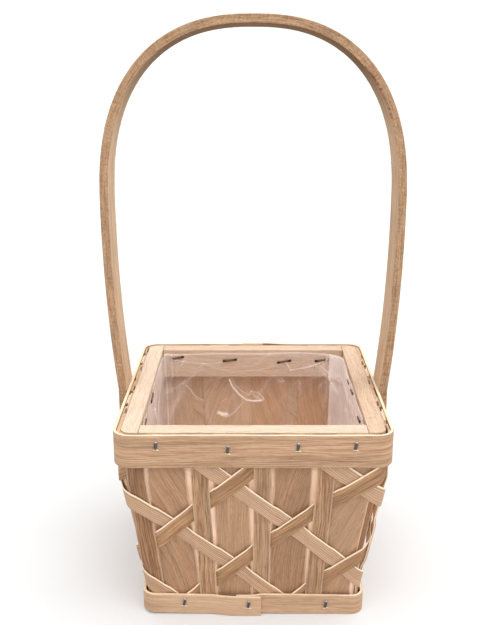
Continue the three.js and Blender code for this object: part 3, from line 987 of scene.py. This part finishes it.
def handle_line(wall, sizes, outer):
    """Points of the hoop's outer line, from the left foot over the top to the right one."""
    low = TOP_BAND_LOW.z - sizes.below
    legs = []
    for z in np.linspace(wall.rim, sizes.widest, 60):
        share = ((sizes.widest - z) / (sizes.widest - wall.rim)) ** sizes.bow
        legs.append((mix(sizes.half, outer, share), z))
    power = 2 / sizes.roundness
    arch = [
        (sizes.half * max(0.0, math.cos(a)) ** power,
         sizes.widest + (sizes.top - sizes.widest) * math.sin(a) ** power)
        for a in np.linspace(0, QUARTER, 160)[1:]
    ]
    right = [(outer, z) for z in np.linspace(low, wall.rim, 12)[:-1]] + legs + arch
    left = [(-x, z) for x, z in right[:-1]]
    return np.array(left + right[::-1])


def make_handle():
    """The hoop: a sawn strip bent over, with smooth faces and rough torn edges."""
    wall, sizes = Wall(), bpy.context.scene.basket_handle
    bands = bpy.context.scene.basket_bands
    thick, width = sizes.thickness, sizes.width
    outer = wall.frame + wall.stack + bands.thickness + wall.clearance + thick
    line = handle_line(wall, sizes, outer)
    steps = np.hypot(*np.diff(line, axis=0).T)
    travelled = np.concatenate([[0], np.cumsum(steps)])
    long = float(travelled[-1])
    bm = blank((long, width, thick), (1000, 4), sizes.arris, deep=5)
    mark_grain(bm, width, (0.3, 0.1))
    painted_shade = bm.verts.layers.float["tone"]
    chipped = bm.verts.layers.float.new("chip")

    def at(s):
        return np.array([np.interp(s, travelled, line[:, axis]) for axis in (0, 1)])

    def lower(d):
        return smooth(1.4 - d / thick * 3)

    def chip(s, t, d):
        """How deep a chip is torn here from the lower front edge of the right shoulder."""
        x, z = at(s)
        torn = smooth((x - sizes.torn_from) / 0.02) * (t < width / 2)
        torn *= between(z, sizes.torn_low, sizes.torn_high, 0.015)
        ragged = 0.5 * sway(s * 75, 4, 0) + 0.4 * sway(s * 420, 7, t * 90)
        return max(0.0, ragged + 0.2) * torn * 1.7 * lower(d)

    for vert in bm.verts:
        vert[chipped] = chip(*vert.co)
        # Painted shade: the inner face is painted darker up towards the top of the arch and down
        # the right leg, where it lies in shade.
        z = at(vert.co.x)[1]
        shade = 0.2 * smooth((vert.co.x / long - 0.5) * 8) * smooth((z - 0.2) / 0.1)
        worn = 0.97 * smooth((z - sizes.worn_from) / 0.10) + shade
        vert[painted_shade] = -worn * (vert.co.z < thick / 2)
    lean = Matrix.Rotation(-sizes.lean, 3, "X")
    pivot = Vector((0, 0, wall.rim))

    def place(s, t, d):
        way = at(s + 0.003) - at(s - 0.003)
        way = way / np.hypot(*way)
        inwards = np.array([way[1], -way[0]])
        side = t - width / 2
        rough = 0.0
        if abs(side) > 0.45 * width:
            rough = 0.0005 * sway(s * 160, d * 400, t) + 0.0006 * sway(s * 400, d * 900, t)
            teeth = max(0.0, sway(s * 240, 4, t * 90) - 0.22) * lower(d)
            rough -= sizes.tear * max(teeth, chip(s, t, d))
        x, z = at(s) + inwards * (thick - d)
        # Known fault: copysign drops rough's minus, so tears stand out where they should go in.
        y = side * (1 + 0.01 * sway(s * 9, 2, 0)) + math.copysign(rough, side)
        return lean @ (Vector((x, y, z)) - pivot) + pivot

    bend(bm, place)
    return settle("bent_hoop", bm, ["handle_face", "handle"], ["handle"])


def film_creases(rng, count, high):
    """Seeded creases on one wall: where each starts, its direction, its reach, width and height."""
    made = []
    for _ in range(count):
        angle = rng.choice((rng.gauss(math.pi / 2, 0.5), rng.uniform(0, math.pi)))
        made.append((
            rng.uniform(-0.08, 0.08), rng.uniform(0.02, high), angle, rng.uniform(0.006, 0.032),
            rng.uniform(0.0011, 0.0024), rng.uniform(0.15, 0.6) * rng.choice((-1, 1, 1)),
        ))
    return made


def open_bag():
    """A fine cube of side 2 with no top, whose back wall is finer still."""
    bm = bmesh.new()
    bmesh.ops.create_cube(bm, size=2)
    top = [f for f in bm.faces if f.calc_center_median().z > 0.9]
    bmesh.ops.delete(bm, geom=top, context="FACES_ONLY")
    bmesh.ops.subdivide_edges(bm, edges=bm.edges[:], cuts=96, use_grid_fill=True)
    back = [e for e in bm.edges if all(v.co.y > 0.9999 and v.co.z > -0.05 for v in e.verts)]
    bmesh.ops.subdivide_edges(bm, edges=back, cuts=2, use_grid_fill=True)
    return bm


def rumple(xy, scale, level):
    """A slow wander over the film's points, at one level or each at its own."""
    levels = np.broadcast_to(level, len(xy))
    return np.array([sway(x * scale, y * scale, z) for (x, y), z in zip(xy, levels)])


def crease_film(xy, z, half, share, on_wall, creases, sizes):
    """How far in the creases, pleats and streaks push each point, and how folded it is there."""
    inward, fold = np.zeros(len(z)), np.zeros(len(z))
    for side in range(4):
        c, s = math.cos(side * QUARTER), math.sin(side * QUARTER)
        along = xy[:, 0] * c + xy[:, 1] * s
        out = xy[:, 0] * s - xy[:, 1] * c
        mine = on_wall & (out > half - 0.008) & (out >= np.abs(along) - 0.004)
        for a0, z0, angle, long, width, height in creases[side]:
            da, dz = along - a0, z - z0
            ahead = da * math.cos(angle) + dz * math.sin(angle)
            aside = -da * math.sin(angle) + dz * math.cos(angle) + 8 * ahead * ahead * height
            bump = mine * np.exp(-np.abs(aside) / width) * np.exp(-(ahead / long) ** 2)
            inward += bump * height * sizes.crease
            fold += bump * abs(height)
        for a0, width, height in PLEATS:
            aside = np.abs(along - a0 * MM * (1 - 0.03 * (1 - share)))
            bump = mine * np.exp(-aside / (width * MM)) * share ** 1.5
            inward += bump * height * sizes.pleat
            fold += bump * 0.3
        across = along if side == 1 else -along
        for points, width, height in FILM_STREAKS.get(side, ()):
            line = np.array(points) * MM
            steps = np.linspace(0, len(line) - 1, 12 * (len(line) - 1) + 1)
            px, pz = (np.interp(steps, range(len(line)), line[:, axis]) for axis in (0, 1))
            away = np.hypot(across[:, None] - px, z[:, None] - pz).min(axis=1)
            bump = mine * np.exp(-((away / (0.65 * width * MM)) ** 2))
            inward += bump * height * sizes.streak
            fold += bump * height * 1.5
    return inward, fold


def film_milk_and_glow(xy, z, half, on_wall):
    """How milky each point of the film looks, which also sets its painted glow."""
    doubled = smooth_array((z - 0.143 + 0.004 * np.cos(xy[:, 0] * 55 + 2.6)) / 0.004)
    doubled = doubled * (1 - 0.7 * smooth_array((z - 0.158) / 0.004))
    milk = MILK_AND_GLOW["back"] + MILK_AND_GLOW["doubled"] * doubled
    far = smooth_array((xy[:, 1] - 0.045) / 0.03)
    for where, value in (
        (xy[:, 0] > half - 0.012, MILK_AND_GLOW["right"] - 0.04 * far),
        (xy[:, 0] < -half + 0.009, MILK_AND_GLOW["left"] - 0.14 * far),
        (xy[:, 1] < -half + 0.006, MILK_AND_GLOW["front"]),
        (~on_wall, MILK_AND_GLOW["floor"]),
    ):
        milk = np.where(where, value, milk)
    return milk


def make_liner():
    """The film liner: an open bag pressed into the basket, creased and folded at its corners."""
    wall, sizes = Wall(), bpy.context.scene.basket_liner
    bm = open_bag()
    foot = wall.base - sizes.inset
    high = wall.rim - sizes.drop
    low = wall.board + wall.clearance
    lip = wall.mouth - wall.clearance
    rng = random.Random(sizes.seed)
    creases = [film_creases(rng, sizes.creases, high) for _ in SIDES]
    layer = bm.verts.layers.float.new("crease")
    haze = bm.verts.layers.float.new("milk")
    verts = list(bm.verts)
    unit = np.array([v.co for v in verts])
    share = (unit[:, 2] + 1) / 2
    square = np.abs(unit[:, :2]).max(axis=1)
    on_wall = square > 0.9999
    z = low + share * (high - low)
    half = foot + (lip - foot) * share
    room = np.array([wall.half(min(max(v, low), wall.rim)) for v in z]) - half
    ends = np.clip((1 - np.abs(unit[:, 0])) / 0.12, 0, 1)
    bulge = np.where(unit[:, 1] < -0.9999, 0.15 + 0.75 * ends, 0.15)
    low_down = smooth_array((wall.frame_z + 0.001 - z) / 0.006) * smooth_array((z - low) / 0.012)
    half = half + bulge * room * low_down
    xy = unit[:, :2] * half[:, None]
    reach = half * square
    # One corner hangs free of the wood in a wide round.
    loose = (unit[:, 0] > 0) & (unit[:, 1] > 0)
    radius = sizes.corner * square * np.where(loose, 1 + 2.2 * share, 1)
    core = np.clip(xy, -(reach - radius)[:, None], (reach - radius)[:, None])
    off = xy - core
    size = np.maximum(np.hypot(off[:, 0], off[:, 1]), 1e-9)
    normal = off / size[:, None]
    xy = np.where((size > 1e-8)[:, None] & on_wall[:, None], core + normal * radius[:, None], xy)

    inward, fold = crease_film(xy, z, half, share, on_wall, creases, sizes)
    milk = film_milk_and_glow(xy, z, half, on_wall)
    # The film's lip counts as folded, so it is milkier and carries a painted highlight glow along
    # its top.
    fold += 0.9 * on_wall * np.clip((share - 0.984) / 0.01, 0, 1)
    inward += sizes.slack * on_wall * (rumple(xy, 24, z * 20) + 0.3)
    inward = np.where(z > wall.frame_z - 0.006, np.clip(inward, -HAIR, 0.004), inward)
    xy = xy - normal * (inward * on_wall)[:, None]
    edge = share ** 6 * sizes.ragged * rumple(xy, 30, 3)
    z = z + np.where(on_wall, edge, sizes.ruck * (1 + rumple(xy, 40, 9)))
    for vert, p, h, f, m in zip(verts, xy, z, fold, milk):
        vert.co = (p[0], p[1], max(low, h))
        vert[layer] = min(1.0, f * 0.6)
        vert[haze] = m
        vert.normal_update()
    corners = [v for v in verts if v.co.z < low + 0.008]
    bmesh.ops.smooth_vert(
        bm, verts=corners, factor=0.5, use_axis_x=True, use_axis_y=True, use_axis_z=False
    )
    bmesh.ops.recalc_face_normals(bm, faces=bm.faces[:])
    shade_smooth(bm)
    film = settle("clear_liner", bm, ["film"], ["liner"], flat=False)
    return film


def staple_shape(crown):
    """One staple, flat on its back: its crown on X, bent down to a short leg at both ends."""
    sizes = bpy.context.scene.basket_staples
    leg, thick, wide = sizes.leg, sizes.thickness, sizes.wire
    long = crown + 2 * leg
    bm = blank((long, wide, thick), (24, 2), thick * 0.3)
    curve = leg * 0.75
    flat, inner = crown / 2 - curve / 2, curve - thick
    bent = bm.verts.layers.float.new("way_up")
    for vert in bm.verts:
        x, y, z = vert.co
        x -= long / 2
        away, down = abs(x), z
        if away > flat:
            beyond = away - flat
            turn = min(beyond / curve, 1.3)
            drop = max(0, beyond - turn * curve)
            radius = inner + z
            away = flat + radius * math.sin(turn) + drop * math.cos(turn)
            down = radius * math.cos(turn) - inner - drop * math.sin(turn)
        vert.co = (math.copysign(away, x), y - wide / 2, down)
        vert[bent] = vert.co.x / crown
    shade_smooth(bm)
    return bm


def gather(shapes):
    """Joins many shapes in one."""
    bm = bmesh.new()
    for shape in shapes:
        mesh = bpy.data.meshes.new("part")
        shape.to_mesh(mesh)
        shape.free()
        bm.from_mesh(mesh)
        bpy.data.meshes.remove(mesh)
    return bm


def make_staples(name, crown, places, steel_kind):
    """Staples, each driven in at its place: point, outward way, crown's way."""

    def driven(point, out, way):
        staple = staple_shape(crown)
        turn = Matrix((way, out.cross(way).normalized(), out)).transposed().to_4x4()
        bmesh.ops.transform(staple, matrix=Matrix.Translation(point) @ turn, verts=staple.verts)
        return staple

    bm = gather(driven(*place) for place in places)
    return settle(name, bm, [steel_kind], flat=False)


def make_burrs(name, crown, places):
    """The slivers of pale wood that each staple has torn up under its lower leg."""
    long, wide, thick = 0.0044, 0.0013, 0.0007

    def sliver(number, point, out, way):
        bm = blank((long, wide, thick), (6, 2), 0.0002)
        mark_grain(bm, wide)
        across = out.cross(way).normalized()
        turn = 0.5 * sway(number * 1.7, 2, 2)
        c, s = math.cos(turn), math.sin(turn)
        for vert in bm.verts:
            x, y, z = vert.co
            x -= long / 2
            y *= 1 - abs(x) / 0.0030
            down = y * c - x * s - crown * 0.62
            vert.co = point + way * down - across * (x * c + y * s + 0.0006) + out * (z + 0.0002)
        return bm

    bm = gather(sliver(number, *place) for number, place in enumerate(places))
    return settle(name, bm, ["cut", "cut"], flat=False)


def band_staple(wall, side, along, z, level, out, tilt):
    """Place of a short upright staple on a band's outer face."""
    turn = Matrix.Rotation(side * QUARTER, 3, "Z")
    way = turn @ Vector((math.sin(tilt), 0, math.cos(tilt)))
    return wall.point(side, along, level, out, z), turn @ Vector((0, -1, 0)), way


class BASKET_OT_weave(bpy.types.Operator):
    """Bend the upright, wide and slanting splints round the wall"""

    bl_idname = "basket.weave"
    bl_label = "Splint weave"

    def execute(self, context):
        for side in range(4):
            for number in range(4):
                make_wide(side, number)
                make_upright(side, number)
        for slot in range(0, 16, 2):
            make_slant(slot, 1)
            make_slant(slot, -1)
        return {"FINISHED"}


class BASKET_OT_bands(bpy.types.Operator):
    """Bend the bands round the foot and the rim"""

    bl_idname = "basket.bands"
    bl_label = "Bent bands"

    def execute(self, context):
        wall, sizes = context.scene.basket_wall, context.scene.basket_bands
        make_band(
            "bent_foot_band", "foot_band", 0, sizes.foot_end, 0, wall.foot, 0,
            (0, 1.2, 0, 0, 1.7, 0),
        )
        make_band(
            "bent_top_band", "top_band", 2, sizes.top_end, TOP_BAND_LOW.z, wall.rim, wall.rim,
            (0, 0, 0, 0, 0, 0),
        )
        return {"FINISHED"}


class BASKET_OT_frame(bpy.types.Operator):
    """Make the planed mouth frame and the base board"""

    bl_idname = "basket.frame"
    bl_label = "Mouth frame and base"

    def execute(self, context):
        for side in range(4):
            make_frame(side)
        make_base()
        return {"FINISHED"}


class BASKET_OT_handle(bpy.types.Operator):
    """Bend the hoop handle"""

    bl_idname = "basket.handle"
    bl_label = "Hoop handle"

    def execute(self, context):
        make_handle()
        return {"FINISHED"}


class BASKET_OT_liner(bpy.types.Operator):
    """Press the film liner into the basket"""

    bl_idname = "basket.liner"
    bl_label = "Film liner"

    def execute(self, context):
        make_liner()
        return {"FINISHED"}


class BASKET_OT_staples(bpy.types.Operator):
    """Drive the staples through the bands, the film and the handle's legs"""

    bl_idname = "basket.staples"
    bl_label = "Staples"

    def execute(self, context):
        wall = Wall()
        bands, sizes = context.scene.basket_bands, context.scene.basket_staples
        rng = random.Random(sizes.seed)
        skin = wall.stack + bands.thickness + wall.clearance
        top, foot = [], []
        for side in range(4):
            shift = 0 if side == 0 else rng.uniform(-0.004, 0.004)
            for x, z in TOP_STAPLES:
                tilt = 0.12 + rng.uniform(-0.06, 0.1)
                top.append(band_staple(wall, side, x * MM + shift, z * MM, wall.rim, skin, tilt))
            for number, (x, z) in enumerate(FOOT_STAPLES):
                lapped = side == 0 and number == 1
                out = skin + lapped * (bands.thickness + wall.clearance)
                tilt = 0.2 + rng.uniform(-0.1, 0.1)
                foot.append(band_staple(wall, side, x * MM + shift, z * MM, 0, out, tilt))
        make_staples("top_band_staples", sizes.crown, top, "steel")
        make_staples("foot_band_staples", sizes.crown, foot, "steel")
        make_burrs("staple_burrs", sizes.crown, top + foot)
        legs = []
        outer = wall.frame + skin + context.scene.basket_handle.thickness + HAIR
        for hand in (-1, 1):
            way = Vector((0, 0.15 * hand, 1)).normalized()
            for y, z in LEG_STAPLES:
                legs.append((Vector((hand * outer, y * MM, z * MM)), Vector((hand, 0, 0)), way))
        make_staples("handle_staples", sizes.crown * 1.5, legs, "steel")
        inside = []
        for side, row in LINER_STAPLES.items():
            turn = Matrix.Rotation(side * QUARTER, 3, "Z")
            for x, z in row:
                point = turn @ Vector((x * MM, -(wall.mouth - sizes.proud), z * MM))
                tilt = rng.uniform(0.08, 0.2)
                way = turn @ Vector((-math.cos(tilt), 0, math.sin(tilt)))
                inside.append((point, turn @ Vector((0, 1, 0)), way))
        make_staples("liner_staples", sizes.long_crown, inside, "rusty steel")
        return {"FINISHED"}


class BASKET_OT_studio(bpy.types.Operator):
    """Set the pale floor, the soft lights and the camera"""

    bl_idname = "basket.studio"
    bl_label = "Studio"

    def execute(self, context):
        scene, settings = context.scene, context.scene.basket_studio
        bm = bmesh.new()
        reach, sweep, high = settings.reach, settings.reach / 2, settings.reach * 0.6
        line = [(0.0, 0.0), (reach - sweep, 0.0)]
        line += [
            (reach - sweep * (1 - math.sin(a)), sweep * (1 - math.cos(a)))
            for a in np.linspace(0, QUARTER, 9)[1:]
        ]
        line.append((reach, high))
        profile = [bm.verts.new((x, 0, z)) for x, z in line]
        edges = [bm.edges.new(pair) for pair in zip(profile, profile[1:])]
        bmesh.ops.spin(
            bm, geom=profile + edges, cent=(0, 0, 0), axis=(0, 0, 1), angle=4 * QUARTER,
            steps=72, use_merge=True, use_duplicate=False,
        )
        bmesh.ops.remove_doubles(bm, verts=bm.verts, dist=1e-5)
        bmesh.ops.recalc_face_normals(bm, faces=bm.faces[:])
        shade_smooth(bm)
        floor = link_mesh("floor", bm)
        floor.data.materials.append(Shader("pale floor").surface(
            tuple(settings.floor), 0.9, Emission_Color=(1.0, 1.0, 1.0, 1.0),
            Emission_Strength=settings.lift,
        ))

        world = scene.world or bpy.data.worlds.new("sky")
        scene.world = world
        world.use_nodes = True
        sky = world.node_tree.nodes["Background"]
        sky.inputs["Color"].default_value = (1, 1, 1, 1)
        sky.inputs["Strength"].default_value = settings.sky
        lamp = bpy.data.lights.new("soft light", "SUN")
        lamp.energy, lamp.angle = settings.key, settings.softness
        light = bpy.data.objects.new("soft light", lamp)
        light.rotation_euler = (-Vector(settings.source)).to_track_quat("-Z", "Y").to_euler()
        scene.collection.objects.link(light)

        camera = bpy.data.objects.new("camera", bpy.data.cameras.new("camera"))
        camera.data.lens = settings.lens
        camera.data.sensor_width = 36
        camera.location = settings.eye
        camera.rotation_euler = (QUARTER - settings.pitch, 0, 0)
        camera.data.clip_end = 50
        scene.collection.objects.link(camera)
        scene.camera = camera
        scene.view_settings.view_transform = "Standard"
        return {"FINISHED"}


class BASKET_PT_panel(bpy.types.Panel):
    """Sizes, finishes and pieces of the basket"""

    bl_label = "Box basket"
    bl_idname = "BASKET_PT_panel"
    bl_space_type = "VIEW_3D"
    bl_region_type = "UI"
    bl_category = "Basket"

    def draw(self, context):
        for name in GROUPS:
            box = self.layout.box()
            group = getattr(context.scene, name)
            for prop in group.bl_rna.properties.keys():
                if prop not in ("rna_type", "name"):
                    box.prop(group, prop)
        for operator in OPERATORS:
            self.layout.operator(operator.bl_idname)


GROUPS = {
    "basket_wall": WallSizes,
    "basket_weave": WeaveSizes,
    "basket_bands": BandSizes,
    "basket_handle": HandleSizes,
    "basket_liner": LinerSizes,
    "basket_staples": StapleSizes,
    "basket_finish": Finishes,
    "basket_studio": StudioSettings,
}
OPERATORS = (
    BASKET_OT_frame, BASKET_OT_weave, BASKET_OT_bands, BASKET_OT_handle, BASKET_OT_liner,
    BASKET_OT_staples, BASKET_OT_studio,
)


def register():
    for cls in (*GROUPS.values(), *OPERATORS, BASKET_PT_panel):
        bpy.utils.register_class(cls)
    for name, cls in GROUPS.items():
        setattr(bpy.types.Scene, name, bpy.props.PointerProperty(type=cls))


def unregister():
    for name in GROUPS:
        delattr(bpy.types.Scene, name)
    for cls in reversed((*GROUPS.values(), *OPERATORS, BASKET_PT_panel)):
        bpy.utils.unregister_class(cls)


def main():
    register()
    for operator in OPERATORS:
        group, name = operator.bl_idname.split(".")
        getattr(getattr(bpy.ops, group), name)()


if __name__ == "__main__":
    main()
